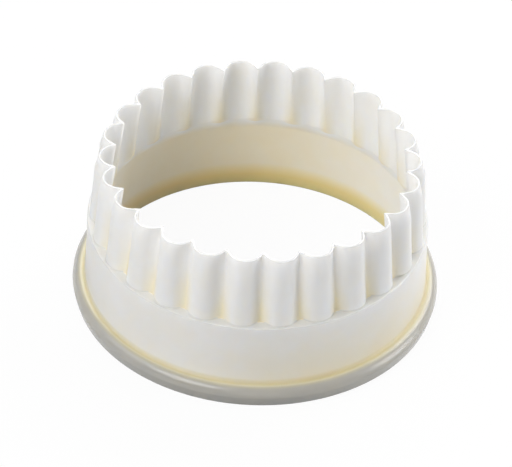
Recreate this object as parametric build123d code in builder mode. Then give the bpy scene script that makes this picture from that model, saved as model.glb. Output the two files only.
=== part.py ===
from build123d import *
import os
from math import cos, pi, radians, sin

# Fluted dough cutter, one plastic moulding that stands on its grip flange with the cutting edge up.
# The moulding is written as four rings that meet face to face on flat planes.
# Millimetres, +Z up, origin at the centre of the underside of the flange.

# Whole cutter
total_height = 35.0
flute_count = 26
pitch = 2 * pi / flute_count

# Grip flange, the thick rim that the palm presses on
flange_radius = 39.2
flange_height = 4.4
flange_top_round = 2.1
flange_foot_chamfer = 0.3
flange_corner_chamfer = 0.4
flange_bore_chamfer = 0.3
flange_split_height = 5.2

# Plain wall, a smooth band with a little draft on both sides
wall_outer_foot_radius = 36.6
wall_outer_top_radius = 36.1
bore_foot_radius = 35.1
bore_top_radius = 34.4
ledge_height = 18.9
ledge_chamfer = 0.4

# Cone inside the wall that leads the plain bore into the flutes
cone_foot_height = 16.6
cone_top_height = 20.7
cone_top_radius = 31.9

# Outside of the flutes: radius over the crests, radius in the valleys, and turn from a crest to its flank
flank_angle = 51.5
lip_height = 31.8
foot_crest_radius = 35.4
foot_valley_radius = 33.6
shoulder_crest_radius = 34.7
shoulder_valley_radius = 31.7
edge_crest_radius = 33.9
edge_valley_radius = 31.0

# Inside of the flutes: hollow behind each crest, sharp ridge behind each valley
hollow_flank_angle = 48.5
hollow_foot_radius = 33.8
hollow_edge_radius = 33.5
ridge_foot_radius = 32.1
ridge_edge_radius = 30.6
hollow_start_height = 17.0
hollow_overrun = 1.0


def between(height, low_height, low_value, high_height, high_value):
    """Value at a height on the straight line through two known heights."""
    share = (height - low_height) / (high_height - low_height)
    return low_value + share * (high_value - low_value)


def wall_outer_radius(height):
    return between(height, 0, wall_outer_foot_radius, ledge_height, wall_outer_top_radius)


def bore_radius(height):
    return between(height, 0, bore_foot_radius, cone_foot_height, bore_top_radius)


def cone_radius(height):
    return between(height, cone_foot_height, bore_top_radius, cone_top_height, cone_top_radius)


def flute_outline(crest_radius, valley_radius, flank_turn):
    """Closed outline of all flutes: a round nose at each crest, tangent flanks, a sharp valley between.

    The nose radius follows from the turn. Outlines with one turn loft to cones and flat flanks.
    """
    turn_cos = cos(radians(flank_turn))
    turn_sin = sin(radians(flank_turn))
    valley_x = valley_radius * cos(pitch / 2)
    valley_y = valley_radius * sin(pitch / 2)
    nose_radius = (valley_y * turn_sin - (crest_radius - valley_x) * turn_cos) / (1 - turn_cos)
    tangent_x = crest_radius - nose_radius * (1 - turn_cos)
    tangent_y = nose_radius * turn_sin
    for number in range(flute_count):
        turn = number * 360 / flute_count
        start = Vector(tangent_x, -tangent_y).rotate(Axis.Z, turn)
        crest = Vector(crest_radius, 0).rotate(Axis.Z, turn)
        finish = Vector(tangent_x, tangent_y).rotate(Axis.Z, turn)
        valley = Vector(valley_x, valley_y).rotate(Axis.Z, turn)
        next_start = Vector(tangent_x, -tangent_y).rotate(Axis.Z, turn + 360 / flute_count)
        ThreePointArc(start, crest, finish)
        Line(finish, valley)
        Line(valley, next_start)


def hollow_section(height):
    """Hollow side of the flutes at a height: radius behind the crests, radius at the ridges, turn."""
    hollow = between(height, ledge_height, hollow_foot_radius, total_height, hollow_edge_radius)
    ridge = between(height, ledge_height, ridge_foot_radius, total_height, ridge_edge_radius)
    return hollow, ridge, hollow_flank_angle


# Hollow side of the flutes, cut from the wall, the flutes and the lip alike
hollow_top_height = total_height + hollow_overrun
with BuildPart() as flute_hollow:
    with BuildSketch(Plane.XY.offset(hollow_start_height)):
        with BuildLine():
            flute_outline(*hollow_section(hollow_start_height))
        make_face()
    with BuildSketch(Plane.XY.offset(hollow_top_height)):
        with BuildLine():
            flute_outline(*hollow_section(hollow_top_height))
        make_face()
    loft(ruled=True)

# Grip flange, with the foot of the wall on it
with BuildPart() as grip_flange:
    with BuildSketch(Plane.XZ):
        corner_radius = wall_outer_radius(flange_height)
        with BuildLine():
            Polyline(
                (bore_foot_radius, 0),
                (flange_radius, 0),
                (flange_radius, flange_height),
                (corner_radius, flange_height),
                (wall_outer_radius(flange_split_height), flange_split_height),
                (bore_radius(flange_split_height), flange_split_height),
                close=True,
            )
        make_face()
        chamfer(vertices().sort_by_distance((flange_radius, 0))[0], flange_foot_chamfer)
        fillet(vertices().sort_by_distance((flange_radius, flange_height))[0], flange_top_round)
        chamfer(vertices().sort_by_distance((corner_radius, flange_height))[0], flange_corner_chamfer)
        chamfer(vertices().sort_by_distance((bore_foot_radius, 0))[0], flange_bore_chamfer)
    revolve(axis=Axis.Z)

# Plain wall, with the ledge that the flutes stand on and the cone inside it
with BuildPart() as plain_wall:
    with BuildSketch(Plane.XZ):
        with BuildLine():
            Polyline(
                (bore_radius(flange_split_height), flange_split_height),
                (wall_outer_radius(flange_split_height), flange_split_height),
                (wall_outer_top_radius, ledge_height),
                (cone_radius(ledge_height), ledge_height),
                (bore_top_radius, cone_foot_height),
                close=True,
            )
        make_face()
        chamfer(vertices().sort_by_distance((wall_outer_top_radius, ledge_height))[0], ledge_chamfer)
    revolve(axis=Axis.Z)
    add(flute_hollow.part, mode=Mode.SUBTRACT)

# Fluted wall, from the ledge up to the shoulder of the bevel
with BuildPart() as fluted_wall:
    with BuildSketch(Plane.XY.offset(ledge_height)):
        with BuildLine():
            flute_outline(foot_crest_radius, foot_valley_radius, flank_angle)
        make_face()
    with BuildSketch(Plane.XY.offset(lip_height)):
        with BuildLine():
            flute_outline(shoulder_crest_radius, shoulder_valley_radius, flank_angle)
        make_face()
    loft(ruled=True)
    add(flute_hollow.part, mode=Mode.SUBTRACT)
    with BuildSketch(Plane.XY.offset(ledge_height)):
        Circle(cone_radius(ledge_height))
    with BuildSketch(Plane.XY.offset(cone_top_height)):
        Circle(cone_top_radius)
    loft(ruled=True, mode=Mode.SUBTRACT)

# Cutting lip, where the outside draws in to a thin edge
with BuildPart() as cutting_lip:
    with BuildSketch(Plane.XY.offset(lip_height)):
        with BuildLine():
            flute_outline(shoulder_crest_radius, shoulder_valley_radius, flank_angle)
        make_face()
    with BuildSketch(Plane.XY.offset(total_height)):
        with BuildLine():
            flute_outline(edge_crest_radius, edge_valley_radius, flank_angle)
        make_face()
    loft(ruled=True)
    add(flute_hollow.part, mode=Mode.SUBTRACT)

os.makedirs("parts", exist_ok=True)

grip_flange.part.label = "grip_flange"
export_step(grip_flange.part, "parts/grip_flange.step")

plain_wall.part.label = "plain_wall"
export_step(plain_wall.part, "parts/plain_wall.step")

fluted_wall.part.label = "fluted_wall"
export_step(fluted_wall.part, "parts/fluted_wall.step")

cutting_lip.part.label = "cutting_lip"
export_step(cutting_lip.part, "parts/cutting_lip.step")
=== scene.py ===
import bpy
from math import cos, pi, radians, sin
from mathutils import Matrix, Vector


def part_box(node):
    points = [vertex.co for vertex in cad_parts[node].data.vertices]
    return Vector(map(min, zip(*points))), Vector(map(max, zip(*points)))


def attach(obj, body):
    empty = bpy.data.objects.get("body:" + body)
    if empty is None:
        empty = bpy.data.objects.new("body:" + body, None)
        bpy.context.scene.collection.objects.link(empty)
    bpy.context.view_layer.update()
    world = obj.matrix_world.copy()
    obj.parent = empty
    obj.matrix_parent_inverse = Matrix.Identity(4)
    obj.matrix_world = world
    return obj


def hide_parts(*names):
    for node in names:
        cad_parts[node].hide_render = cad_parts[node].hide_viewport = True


# Fluted dough cutter, one ivory plastic moulding that stands on its flange with the cutting edge up
# Metres, +Z up, one flute crest on +X

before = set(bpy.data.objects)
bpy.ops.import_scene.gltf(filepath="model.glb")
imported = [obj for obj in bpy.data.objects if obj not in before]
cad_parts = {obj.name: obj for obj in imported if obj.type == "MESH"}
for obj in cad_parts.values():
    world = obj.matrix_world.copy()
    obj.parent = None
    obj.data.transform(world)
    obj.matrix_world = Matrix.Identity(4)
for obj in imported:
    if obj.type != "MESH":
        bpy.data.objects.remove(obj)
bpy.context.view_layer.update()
mm = 0.001
weldReach = 0.001 * mm

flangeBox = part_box("grip_flange")
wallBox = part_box("plain_wall")
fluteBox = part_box("fluted_wall")
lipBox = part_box("cutting_lip")
flangeRadius = flangeBox[1].x
wallFootHeight = wallBox[0].z
wallFootRadius = wallBox[1].x
ledgeHeight = fluteBox[0].z
fluteFootRadius = fluteBox[1].x
shoulderHeight = lipBox[0].z
shoulderRadius = lipBox[1].x
totalHeight = lipBox[1].z
print("frame loaded, flange radius", round(flangeRadius, 5), "height", round(totalHeight, 5))


# Node helpers, shared by the shape tree and the materials
def link(tree, source, target):
    tree.links.new(source, target)


def mathNode(tree, operation, first, second=None, clamp=False):
    node = tree.nodes.new("ShaderNodeMath")
    node.operation = operation
    node.use_clamp = clamp
    for slot, value in enumerate((first, second)):
        if isinstance(value, bpy.types.NodeSocket):
            link(tree, value, node.inputs[slot])
        elif value is not None:
            node.inputs[slot].default_value = value
    return node.outputs[0]


# Cross-section of the moulding, corner by corner round the wall
# radius and height are at a crest, drop and rise lead from there to the valley beside it
shellSettings = {
    "flutes": 26,
    "columns per flute": 24,
    "steps in a round": 7,
    "step along the wall": 2.5 * mm,
    "nose share": 0.75,         # part of each half flute that the round nose takes
    "nose turn": 58,            # degrees from the crest to the flank
    "sharp above": 32,          # degrees
    "flange height": 4.4 * mm,
    "flange top round": 2.1 * mm,
    "flange inset": 0.12 * mm,  # the moulded edge lies this far inside the frame's widest radius
    "flange waist height": 2.3 * mm,
    "flange foot taper": 0.55 * mm,
    "flange foot round": 0.3 * mm,
    "corner round": 0.6 * mm,
    "bore round": 0.35 * mm,
    "bore foot radius": 35.1 * mm,
    "bore top radius": 34.4 * mm,
    "cone foot height": 16.6 * mm,
    "wall draft": 0.36 * mm,    # the plain wall draws in by this up to the ledge
    "ledge round": 0.45 * mm,
    "flute foot spread": 0.25 * mm,
    "flute foot depth": 2.0 * mm,
    "flute foot round": 0.45 * mm,
    "shoulder depth": 3.0 * mm,
    "edge radius": 33.9 * mm,
    "edge depth": 2.5 * mm,
    "edge thickness": 0.4 * mm,
    "edge round": 0.17 * mm,
    "ridge depth": 2.95 * mm,   # inside, at the edge
    "hollow foot radius": 33.8 * mm,
    "hollow foot height": 19.0 * mm,
    "ridge foot depth": 1.6 * mm,
    "ridge foot rise": 1.4 * mm,
    "cone round": 0.5 * mm,
    "soft valley share": 0.3,   # part of each half flute that the rounded valley takes
    "crisp valley share": 0.04,
}


def shellCorners(s):
    # each row is radius, height, round, drop, rise, and how soft the valleys are
    topRadius = wallFootRadius - s["wall draft"]
    innerEdge = s["edge radius"] - s["edge thickness"]
    widest = flangeRadius - s["flange inset"]
    soft, crisp = s["soft valley share"], s["crisp valley share"]
    return [
        (s["bore foot radius"], 0, s["bore round"], 0, 0, soft),
        (widest - s["flange foot taper"], 0, s["flange foot round"], 0, 0, soft),
        (widest, s["flange waist height"], s["flange foot round"], 0, 0, soft),
        (widest, s["flange height"], s["flange top round"], 0, 0, soft),
        (wallFootRadius, s["flange height"], s["corner round"], 0, 0, soft),
        (topRadius, ledgeHeight, s["ledge round"], 0, 0, soft),
        (fluteFootRadius + s["flute foot spread"], ledgeHeight, s["flute foot round"],
         s["flute foot depth"], 0, soft),
        (shoulderRadius, shoulderHeight, 0, s["shoulder depth"], 0, soft),
        (s["edge radius"], totalHeight, s["edge round"], s["edge depth"], 0, crisp),
        (innerEdge, totalHeight, s["edge round"], s["ridge depth"], 0, crisp),
        (s["hollow foot radius"], s["hollow foot height"], s["cone round"],
         s["ridge foot depth"], s["ridge foot rise"], soft),
        (s["bore top radius"], s["cone foot height"], s["cone round"], 0, 0, soft),
    ]


def shellSection(s):
    # a closed line through the corners, with what the tree needs stored on its points
    corners = shellCorners(s)
    mesh = bpy.data.meshes.new("shellSection")
    count = len(corners)
    edges = [(k, (k + 1) % count) for k in range(count)]
    mesh.from_pydata([(c[0], 0, c[1]) for c in corners], edges, [])
    for column, name in ((2, "rounding"), (3, "drop"), (4, "rise"), (5, "valley")):
        layer = mesh.attributes.new(name, "FLOAT", "POINT")
        layer.data.foreach_set("value", [c[column] for c in corners])
    shell = bpy.data.objects.new("cutterShell", mesh)
    bpy.context.scene.collection.objects.link(shell)
    return shell


def shellTree():
    tree = bpy.data.node_groups.new("sweepShell", "GeometryNodeTree")
    face = tree.interface
    face.new_socket("Section", in_out="INPUT", socket_type="NodeSocketGeometry")
    sockets = {}
    for name, kind in (("Flutes", "Int"), ("Columns per Flute", "Int"), ("Round Steps", "Int"),
                       ("Wall Step", "Float"), ("Nose Share", "Float"), ("Nose Turn", "Float"),
                       ("Plastic", "Material")):
        made = face.new_socket(name, in_out="INPUT", socket_type="NodeSocket" + kind)
        sockets[name] = made.identifier
    face.new_socket("Shell", in_out="OUTPUT", socket_type="NodeSocketGeometry")
    new = tree.nodes.new
    given = new("NodeGroupInput").outputs

    def named(name):
        node = new("GeometryNodeInputNamedAttribute")
        node.inputs["Name"].default_value = name
        return node.outputs["Attribute"]

    def store(geometry, name, value):
        node = new("GeometryNodeStoreNamedAttribute")
        node.inputs["Name"].default_value = name
        link(tree, geometry, node.inputs["Geometry"])
        link(tree, value, node.inputs["Value"])
        return node.outputs["Geometry"]

    # Section: rounds at its corners, then steps along its straight stretches
    curve = new("GeometryNodeMeshToCurve")
    link(tree, given["Section"], curve.inputs["Mesh"])
    rounds = new("GeometryNodeFilletCurve")
    rounds.mode = "POLY"
    rounds.inputs["Limit Radius"].default_value = True
    link(tree, curve.outputs[0], rounds.inputs["Curve"])
    link(tree, given["Round Steps"], rounds.inputs["Count"])
    link(tree, named("rounding"), rounds.inputs["Radius"])
    place = new("GeometryNodeInputPosition").outputs[0]
    nextPoint = new("GeometryNodeOffsetPointInCurve")
    nextPoint.inputs["Offset"].default_value = 1
    nextPlace = new("GeometryNodeFieldAtIndex")
    nextPlace.data_type = "FLOAT_VECTOR"
    link(tree, nextPoint.outputs["Point Index"], nextPlace.inputs["Index"])
    link(tree, place, nextPlace.inputs["Value"])
    gap = new("ShaderNodeVectorMath")
    gap.operation = "DISTANCE"
    link(tree, place, gap.inputs[0])
    link(tree, nextPlace.outputs[0], gap.inputs[1])
    steps = new("GeometryNodeSubdivideCurve")
    link(tree, rounds.outputs[0], steps.inputs["Curve"])
    stepCount = mathNode(tree, "DIVIDE", gap.outputs["Value"], given["Wall Step"])
    link(tree, mathNode(tree, "FLOOR", stepCount), steps.inputs["Cuts"])
    split = new("ShaderNodeSeparateXYZ")
    link(tree, place, split.inputs[0])
    section = store(steps.outputs[0], "crestRadius", split.outputs["X"])
    section = store(section, "crestHeight", split.outputs["Z"])

    # Ring with one point for each column, which knows its own turn
    columns = mathNode(tree, "MULTIPLY", given["Flutes"], given["Columns per Flute"])
    ring = new("GeometryNodeCurvePrimitiveCircle")
    link(tree, columns, ring.inputs["Resolution"])
    index = new("GeometryNodeInputIndex").outputs[0]
    fluteShare = mathNode(tree, "DIVIDE", index, given["Columns per Flute"])
    path = store(ring.outputs["Curve"], "fluteShare", fluteShare)
    sweep = new("GeometryNodeCurveToMesh")
    link(tree, path, sweep.inputs["Curve"])
    link(tree, section, sweep.inputs["Profile Curve"])

    # Fall from crest to valley: round nose first, then a straight flank that leaves it at a tangent
    share = mathNode(tree, "MULTIPLY", mathNode(tree, "PINGPONG", named("fluteShare"), 0.5), 2)
    turnSin = mathNode(tree, "SINE", given["Nose Turn"])
    turnCos = mathNode(tree, "COSINE", given["Nose Turn"])
    noseHeight = mathNode(tree, "SUBTRACT", 1, turnCos)
    flankShare = mathNode(tree, "SUBTRACT", 1, given["Nose Share"])
    steep = mathNode(tree, "DIVIDE", mathNode(tree, "MULTIPLY", turnSin, turnSin), turnCos)
    steep = mathNode(tree, "DIVIDE", steep, mathNode(tree, "MULTIPLY", given["Nose Share"], noseHeight))
    noseDrop = mathNode(tree, "MULTIPLY", steep, flankShare)
    noseDrop = mathNode(tree, "DIVIDE", 1, mathNode(tree, "ADD", noseDrop, 1))
    across = mathNode(tree, "MULTIPLY", share, mathNode(tree, "DIVIDE", turnSin, given["Nose Share"]))
    across = mathNode(tree, "MINIMUM", across, turnSin)
    lift = mathNode(tree, "SQRT", mathNode(tree, "SUBTRACT", 1, mathNode(tree, "POWER", across, 2)))
    nose = mathNode(tree, "DIVIDE", mathNode(tree, "SUBTRACT", 1, lift), noseHeight)
    nose = mathNode(tree, "MULTIPLY", nose, noseDrop)
    beyond = mathNode(tree, "MAXIMUM", mathNode(tree, "SUBTRACT", share, given["Nose Share"]), 0)
    flank = mathNode(tree, "DIVIDE", beyond, flankShare)
    flank = mathNode(tree, "MULTIPLY", flank, mathNode(tree, "SUBTRACT", 1, noseDrop))
    fall = mathNode(tree, "ADD", nose, flank)

    # Valley: the fall levels out over its share, and the whole is stretched back to one
    slope = mathNode(tree, "DIVIDE", mathNode(tree, "SUBTRACT", 1, noseDrop), flankShare)
    valley = named("valley")
    inside = mathNode(tree, "SUBTRACT", share, mathNode(tree, "SUBTRACT", 1, valley))
    inside = mathNode(tree, "POWER", mathNode(tree, "MAXIMUM", inside, 0), 2)
    level = mathNode(tree, "MULTIPLY", inside, slope)
    level = mathNode(tree, "DIVIDE", level, mathNode(tree, "MULTIPLY", valley, 2))
    lost = mathNode(tree, "MULTIPLY", mathNode(tree, "MULTIPLY", slope, valley), 0.5)
    fall = mathNode(tree, "SUBTRACT", fall, level)
    fall = mathNode(tree, "DIVIDE", fall, mathNode(tree, "SUBTRACT", 1, lost))

    # Place of each point on the ring
    inward = mathNode(tree, "MULTIPLY", named("drop"), fall)
    upward = mathNode(tree, "MULTIPLY", named("rise"), fall)
    radius = mathNode(tree, "SUBTRACT", named("crestRadius"), inward)
    height = mathNode(tree, "ADD", named("crestHeight"), upward)
    pitch = mathNode(tree, "DIVIDE", 2 * pi, given["Flutes"])
    turn = mathNode(tree, "MULTIPLY", named("fluteShare"), pitch)
    spot = new("ShaderNodeCombineXYZ")
    link(tree, mathNode(tree, "MULTIPLY", radius, mathNode(tree, "COSINE", turn)), spot.inputs["X"])
    link(tree, mathNode(tree, "MULTIPLY", radius, mathNode(tree, "SINE", turn)), spot.inputs["Y"])
    link(tree, height, spot.inputs["Z"])
    bend = new("GeometryNodeSetPosition")
    link(tree, sweep.outputs[0], bend.inputs["Geometry"])
    link(tree, spot.outputs[0], bend.inputs["Position"])

    # Points that fall together are joined, and the faces turned to look outward
    weld = new("GeometryNodeMergeByDistance")
    weld.inputs["Distance"].default_value = weldReach
    link(tree, bend.outputs[0], weld.inputs["Geometry"])
    outward = new("GeometryNodeFlipFaces")
    link(tree, weld.outputs[0], outward.inputs["Mesh"])
    whole = new("GeometryNodeRealizeInstances")
    link(tree, outward.outputs[0], whole.inputs["Geometry"])
    finish = new("GeometryNodeSetMaterial")
    link(tree, whole.outputs[0], finish.inputs["Geometry"])
    link(tree, given["Plastic"], finish.inputs["Material"])
    link(tree, finish.outputs[0], new("NodeGroupOutput").inputs["Shell"])
    return tree, sockets


def buildShell(s, plastic):
    shell = shellSection(s)
    tree, sockets = shellTree()
    sweep = shell.modifiers.new("sweepShell", "NODES")
    sweep.node_group = tree
    sweep[sockets["Flutes"]] = s["flutes"]
    sweep[sockets["Columns per Flute"]] = s["columns per flute"]
    sweep[sockets["Round Steps"]] = s["steps in a round"]
    sweep[sockets["Wall Step"]] = s["step along the wall"]
    sweep[sockets["Nose Share"]] = s["nose share"]
    sweep[sockets["Nose Turn"]] = radians(s["nose turn"])
    sweep[sockets["Plastic"]] = plastic
    bpy.context.view_layer.update()
    evaluated = shell.evaluated_get(bpy.context.evaluated_depsgraph_get())
    mesh = bpy.data.meshes.new_from_object(evaluated)
    shell.modifiers.remove(sweep)
    shell.data = mesh
    for name in ("rounding", "drop", "rise", "valley", "crestRadius", "crestHeight", "fluteShare"):
        layer = mesh.attributes.get(name)
        if layer:
            mesh.attributes.remove(layer)
    mesh.shade_smooth()
    mesh.set_sharp_from_angle(angle=radians(s["sharp above"]))
    return shell


# Ivory plastic: it lets light through where it is thin and looks warmer where it is thick; the warm and
# dark tints below are mostly painted shade
plasticSettings = {
    "colour": (0.885, 0.89, 0.895, 1),
    "shade and mottle colour": (0.87, 0.75, 0.50, 1),
    "travel": (1.0, 0.93, 0.82),        # how far each colour travels below the surface
    "travel scale": 2.2 * mm,
    "refraction": 1.5,
    "roughness": 0.38,
    "inner side radius": 35.5 * mm,     # nearer to the axis than this is the bore, below the flutes
    # painted shade in the bore, weaker on its lit side
    "bore warmth": 0.44,
    "bore warmth top": (16.2 * mm, 18.2 * mm),
    "lit side": (8 * mm, 32 * mm),      # towards +X, the side the lamps light, the bore gets less painted shade
    "bore shade on lit side": 0.3,
    # painted shade at the foot of the bore, where little light reaches
    "foot shade colour": (0.87, 0.73, 0.24, 1),
    "foot warmth": 0.8,
    "foot warmth top": (2.6 * mm, 5.8 * mm),
    "wall warmth": 0.5,                 # painted shade low on the outside, more of it towards +X
    "wall warmth heights": (4.4 * mm, 18 * mm),
    "wall warmth side": (-12 * mm, 14 * mm),
    "wall warmth least": 0.2,
    "ridge warmth": 0.70,               # partly a thicker-plastic tone, partly painted shade in the valleys between two flutes
    "ridge starts": 0.45,               # share of a half flute from crest to valley
    "ridge warmth heights": (19.0 * mm, 31.0 * mm),
    "mottle": 0.10,
    "mottle size": 170.0,
    "mottle range": (0.35, 0.65),
    # painted shade in the concave corner where the wall meets the flange
    "corner shade colour": (0.72, 0.65, 0.38, 1),
    "corner shade strength": 0.9,
    "corner ring": (37.0 * mm, 4.4 * mm, 1.2 * mm),   # radius, height and reach of the ring of painted shade
    # darker flange base: partly a tone of the thicker plastic, partly painted shade
    "flange tone and shade colour": (0.50, 0.493, 0.465, 1),
    "flange starts": (37.0 * mm, 37.8 * mm),
    "flange roughness": 0.22,
    # painted shade on the ledge, which the lamps from above light brightly
    "ledge shade colour": (0.78, 0.78, 0.76, 1),
    "ledge starts": 34.0 * mm,          # radius
    "ledge reach": 0.35 * mm,
    # painted shade on the top rim, to dim its lit glow
    "rim shade colour": (0.72, 0.72, 0.72, 1),
    "rim heights": (34.6 * mm, 34.9 * mm),
    "turning lines": 2200.0,            # fine lines round the flange
    "turning depth": 0.012 * mm,
    "grain size": 2600.0,
    "grain depth": 0.004 * mm,
}


def ramp(tree, value, low, high, lowResult, highResult):
    node = tree.nodes.new("ShaderNodeMapRange")
    link(tree, value, node.inputs["Value"])
    node.inputs["From Min"].default_value = low
    node.inputs["From Max"].default_value = high
    node.inputs["To Min"].default_value = lowResult
    node.inputs["To Max"].default_value = highResult
    return node.outputs["Result"]


def tint(tree, share, base, other):
    node = tree.nodes.new("ShaderNodeMix")
    node.data_type = "RGBA"    # its colours are inputs 6 and 7 and output 2
    link(tree, share, node.inputs["Factor"])
    if isinstance(base, bpy.types.NodeSocket):
        link(tree, base, node.inputs[6])
    else:
        node.inputs[6].default_value = base
    node.inputs[7].default_value = other
    return node.outputs[2]


def makePlastic(s):
    material = bpy.data.materials.new("ivoryPlastic")
    material.use_nodes = True
    tree = material.node_tree
    new = tree.nodes.new
    shader = tree.nodes["Principled BSDF"]
    shader.inputs["IOR"].default_value = s["refraction"]
    shader.inputs["Subsurface Weight"].default_value = 1
    shader.inputs["Subsurface Radius"].default_value = s["travel"]
    shader.inputs["Subsurface Scale"].default_value = s["travel scale"]

    split = new("ShaderNodeSeparateXYZ")
    spot = new("ShaderNodeTexCoord").outputs["Object"]
    link(tree, spot, split.inputs[0])
    height = split.outputs["Z"]
    square = mathNode(tree, "MULTIPLY", split.outputs["X"], split.outputs["X"])
    otherSquare = mathNode(tree, "MULTIPLY", split.outputs["Y"], split.outputs["Y"])
    radius = mathNode(tree, "SQRT", mathNode(tree, "ADD", square, otherSquare))

    # Painted shade: warm tints in the bore, at its foot, and on the corner ring outside where the wall
    # meets the flange
    inner = mathNode(tree, "LESS_THAN", radius, s["inner side radius"])
    bore = ramp(tree, height, *s["bore warmth top"], s["bore warmth"], 0)
    foot = mathNode(tree, "MULTIPLY", inner, ramp(tree, height, *s["foot warmth top"], s["foot warmth"], 0))
    lit = ramp(tree, split.outputs["X"], *s["lit side"], 1, s["bore shade on lit side"])
    bore = mathNode(tree, "MULTIPLY", mathNode(tree, "MULTIPLY", inner, bore), lit)
    ringRadius, ringHeight, ringReach = s["corner ring"]
    away = mathNode(tree, "SUBTRACT", radius, ringRadius)
    above = mathNode(tree, "SUBTRACT", height, ringHeight)
    distance = mathNode(tree, "ADD", mathNode(tree, "POWER", away, 2), mathNode(tree, "POWER", above, 2))
    distance = mathNode(tree, "SQRT", distance)
    corner = ramp(tree, distance, 0, ringReach, s["corner shade strength"], 0)
    mottle = new("ShaderNodeTexNoise")
    mottle.inputs["Scale"].default_value = s["mottle size"]
    link(tree, spot, mottle.inputs["Vector"])
    patch = ramp(tree, mottle.outputs["Fac"], *s["mottle range"], 0, s["mottle"])
    # partly a thicker-plastic tone, partly painted shade in the flute valleys
    turn = mathNode(tree, "ARCTAN2", split.outputs["Y"], split.outputs["X"])
    fluteShare = mathNode(tree, "MULTIPLY", turn, shellSettings["flutes"] / (2 * pi))
    fluteShare = mathNode(tree, "MULTIPLY", mathNode(tree, "PINGPONG", fluteShare, 0.5), 2)
    ridge = ramp(tree, fluteShare, s["ridge starts"], 1, 0, s["ridge warmth"])
    ridge = mathNode(tree, "MULTIPLY", ridge, ramp(tree, height, *s["ridge warmth heights"], 1, 0))
    ridge = mathNode(tree, "MULTIPLY", ridge, mathNode(tree, "GREATER_THAN", height, ledgeHeight))
    # painted shade low on the outer wall, stronger towards +X
    low = ramp(tree, height, *s["wall warmth heights"], s["wall warmth"], 0)
    side = ramp(tree, split.outputs["X"], *s["wall warmth side"], s["wall warmth least"], 1)
    low = mathNode(tree, "MULTIPLY", low, side)
    low = mathNode(tree, "MULTIPLY", low, mathNode(tree, "SUBTRACT", 1, inner))
    low = mathNode(tree, "MULTIPLY", low, mathNode(tree, "LESS_THAN", radius, s["corner ring"][0]))
    # painted shade from the bore, the flute valleys and the low outer wall, plus random mottle that is the
    # plastic's own tone
    warmth = mathNode(tree, "MAXIMUM", mathNode(tree, "MAXIMUM", bore, ridge), low)
    warmth = mathNode(tree, "ADD", warmth, patch, clamp=True)
    # darker flange base, partly plastic tone and partly painted shade
    onFlange = ramp(tree, radius, *s["flange starts"], 0, 1)
    colour = tint(tree, onFlange, s["colour"], s["flange tone and shade colour"])
    colour = tint(tree, warmth, colour, s["shade and mottle colour"])
    # painted shade at the foot of the bore
    colour = tint(tree, foot, colour, s["foot shade colour"])
    # painted shade on the ledge below the flutes
    beside = mathNode(tree, "ABSOLUTE", mathNode(tree, "SUBTRACT", height, ledgeHeight))
    ledgeShade = ramp(tree, beside, s["ledge reach"] / 2, s["ledge reach"], 1, 0)
    outside = mathNode(tree, "GREATER_THAN", radius, s["ledge starts"])
    ledgeShade = mathNode(tree, "MULTIPLY", ledgeShade, outside)
    colour = tint(tree, ledgeShade, colour, s["ledge shade colour"])
    # painted shade in the corner where the wall meets the flange
    colour = tint(tree, corner, colour, s["corner shade colour"])
    # painted shade on the top rim
    rimShade = ramp(tree, height, *s["rim heights"], 0, 1)
    colour = tint(tree, rimShade, colour, s["rim shade colour"])
    link(tree, colour, shader.inputs["Base Color"])
    gloss = ramp(tree, onFlange, 0, 1, s["roughness"], s["flange roughness"])
    link(tree, gloss, shader.inputs["Roughness"])

    # Fine lines round the flange and a faint grain everywhere
    girth = new("ShaderNodeCombineXYZ")
    link(tree, radius, girth.inputs["X"])
    link(tree, height, girth.inputs["Y"])
    lines = new("ShaderNodeTexNoise")
    lines.inputs["Scale"].default_value = s["turning lines"]
    link(tree, girth.outputs[0], lines.inputs["Vector"])
    grain = new("ShaderNodeTexNoise")
    grain.inputs["Scale"].default_value = s["grain size"]
    link(tree, spot, grain.inputs["Vector"])
    lineRelief = mathNode(tree, "MULTIPLY", lines.outputs["Fac"], onFlange)
    lineRelief = mathNode(tree, "MULTIPLY", lineRelief, s["turning depth"])
    grainRelief = mathNode(tree, "MULTIPLY", grain.outputs["Fac"], s["grain depth"])
    relief = mathNode(tree, "ADD", lineRelief, grainRelief)
    bump = new("ShaderNodeBump")
    bump.inputs["Distance"].default_value = 1
    link(tree, relief, bump.inputs["Height"])
    link(tree, bump.outputs[0], shader.inputs["Normal"])
    return material


plastic = makePlastic(plasticSettings)
shell = buildShell(shellSettings, plastic)
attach(shell, "root")
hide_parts("grip_flange", "plain_wall", "fluted_wall", "cutting_lip")
print("shell built", len(shell.data.vertices), "points", len(shell.data.polygons), "faces")

# White sweep that the cutter stands on
stageSettings = {
    "floor size": 6.0,
    "floor drop": 0.05 * mm,
    "white": 1.08,
    "shadow kept": 0.12,
    "world strength": 0.03,
    "floor bounce": 0.35,       # how much light the floor gives back to the cutter
}


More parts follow.
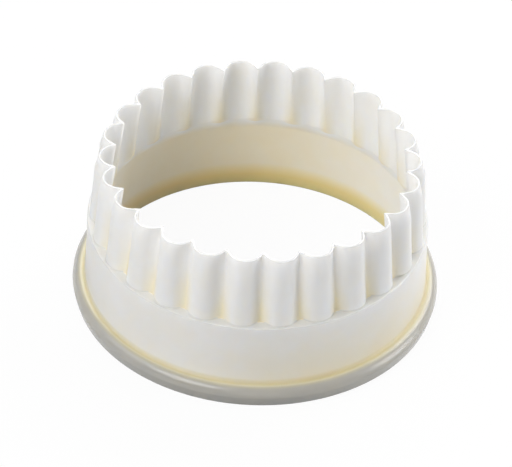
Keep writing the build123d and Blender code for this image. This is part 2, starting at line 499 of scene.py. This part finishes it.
def makeFloor(s):
    half = s["floor size"] / 2
    mesh = bpy.data.meshes.new("floor")
    corners = [(-half, -half, 0), (half, -half, 0), (half, half, 0), (-half, half, 0)]
    mesh.from_pydata([(x, y, -s["floor drop"]) for x, y, z in corners], [], [(0, 1, 2, 3)])
    floor = bpy.data.objects.new("floor", mesh)
    bpy.context.scene.collection.objects.link(floor)
    material = bpy.data.materials.new("floorWhite")
    material.use_nodes = True
    tree = material.node_tree
    tree.nodes.clear()
    new = tree.nodes.new
    matte = new("ShaderNodeBsdfDiffuse")
    matte.inputs["Color"].default_value = (s["floor bounce"],) * 3 + (1,)
    glow = new("ShaderNodeEmission")
    glow.inputs["Color"].default_value = (1, 1, 1, 1)
    glow.inputs["Strength"].default_value = s["white"]
    rays = new("ShaderNodeLightPath")
    seen = mathNode(tree, "MAXIMUM", rays.outputs["Is Camera Ray"], rays.outputs["Is Glossy Ray"])
    seen = mathNode(tree, "MAXIMUM", seen, rays.outputs["Is Transmission Ray"])
    mix = new("ShaderNodeMixShader")
    link(tree, mathNode(tree, "MULTIPLY", seen, 1 - s["shadow kept"]), mix.inputs["Fac"])
    link(tree, matte.outputs[0], mix.inputs[1])
    link(tree, glow.outputs[0], mix.inputs[2])
    link(tree, mix.outputs[0], new("ShaderNodeOutputMaterial").inputs["Surface"])
    mesh.materials.append(material)


def makeWorld(s):
    world = bpy.data.worlds.new("studio")
    bpy.context.scene.world = world
    world.use_nodes = True
    tree = world.node_tree
    tree.nodes.clear()
    new = tree.nodes.new
    rays = new("ShaderNodeLightPath")
    seen = mathNode(tree, "MAXIMUM", rays.outputs["Is Camera Ray"], rays.outputs["Is Transmission Ray"])
    extra = mathNode(tree, "MULTIPLY", seen, 1 - s["world strength"])
    sky = new("ShaderNodeBackground")
    sky.inputs["Color"].default_value = (1, 1, 1, 1)
    link(tree, mathNode(tree, "ADD", extra, s["world strength"]), sky.inputs["Strength"])
    link(tree, sky.outputs[0], new("ShaderNodeOutputWorld").inputs["Surface"])


makeFloor(stageSettings)
makeWorld(stageSettings)

# Soft lamps, each aimed at the middle of the cutter
lampSettings = {            # azimuth and elevation in degrees, size in metres, power in watts
    "keyLeft": {"azimuth": 225, "elevation": 45, "size": 0.5, "power": 3.3},
    "back": {"azimuth": 95, "elevation": 45, "size": 0.5, "power": 2.7},
    "backRight": {"azimuth": 45, "elevation": 38, "size": 0.5, "power": 3.3},
    "right": {"azimuth": -4, "elevation": 15, "size": 0.5, "power": 3.1},
    "frontLow": {"azimuth": 270, "elevation": 12, "size": 0.5, "power": 0.9},
    "left": {"azimuth": 180, "elevation": 45, "size": 0.5, "power": 1.5},
}
lampDistance = 0.8
middle = Vector((0, 0, totalHeight / 2))


def makeLamp(name, s):
    data = bpy.data.lights.new(name, "AREA")
    data.shape = "DISK"
    data.size = s["size"]
    data.energy = s["power"]
    lamp = bpy.data.objects.new(name, data)
    azimuth, elevation = radians(s["azimuth"]), radians(s["elevation"])
    level = Vector((cos(azimuth), sin(azimuth), 0)) * cos(elevation)
    lamp.location = middle + lampDistance * (level + Vector((0, 0, sin(elevation))))
    lamp.rotation_euler = (middle - lamp.location).to_track_quat("-Z", "Y").to_euler()
    bpy.context.scene.collection.objects.link(lamp)


for lampName, lampValues in lampSettings.items():
    makeLamp(lampName, lampValues)
print("stage and lamps built")

cameraSettings = {
    "azimuth": -92.72,          # degrees, from +X towards +Y
    "elevation": 39.67,         # degrees
    "distance": 0.8515,
    "roll": -2.76,              # degrees
    "aim across": -0.24 * mm,
    "aim height": 14.42 * mm,
    "focal pixels": 4005,
    "frame width": 512,         # pixels
    "sensor": 36,               # millimetres
}


def makeCamera(s):
    azimuth, elevation, roll = radians(s["azimuth"]), radians(s["elevation"]), radians(s["roll"])
    back = Vector((cos(elevation) * cos(azimuth), cos(elevation) * sin(azimuth), sin(elevation)))
    right = Vector((-sin(azimuth), cos(azimuth), 0))
    up = back.cross(right)
    across = right * cos(roll) - up * sin(roll)
    upward = right * sin(roll) + up * cos(roll)
    data = bpy.data.cameras.new("camera")
    data.sensor_width = s["sensor"]
    data.lens = s["focal pixels"] / s["frame width"] * s["sensor"]
    camera = bpy.data.objects.new("camera", data)
    place = right * s["aim across"] + Vector((0, 0, s["aim height"])) + back * s["distance"]
    axes = Matrix((across, upward, back)).transposed().to_4x4()
    camera.matrix_world = Matrix.Translation(place) @ axes
    bpy.context.scene.collection.objects.link(camera)
    bpy.context.scene.camera = camera


makeCamera(cameraSettings)
bpy.context.scene.view_settings.view_transform = "Standard"
print("camera placed")
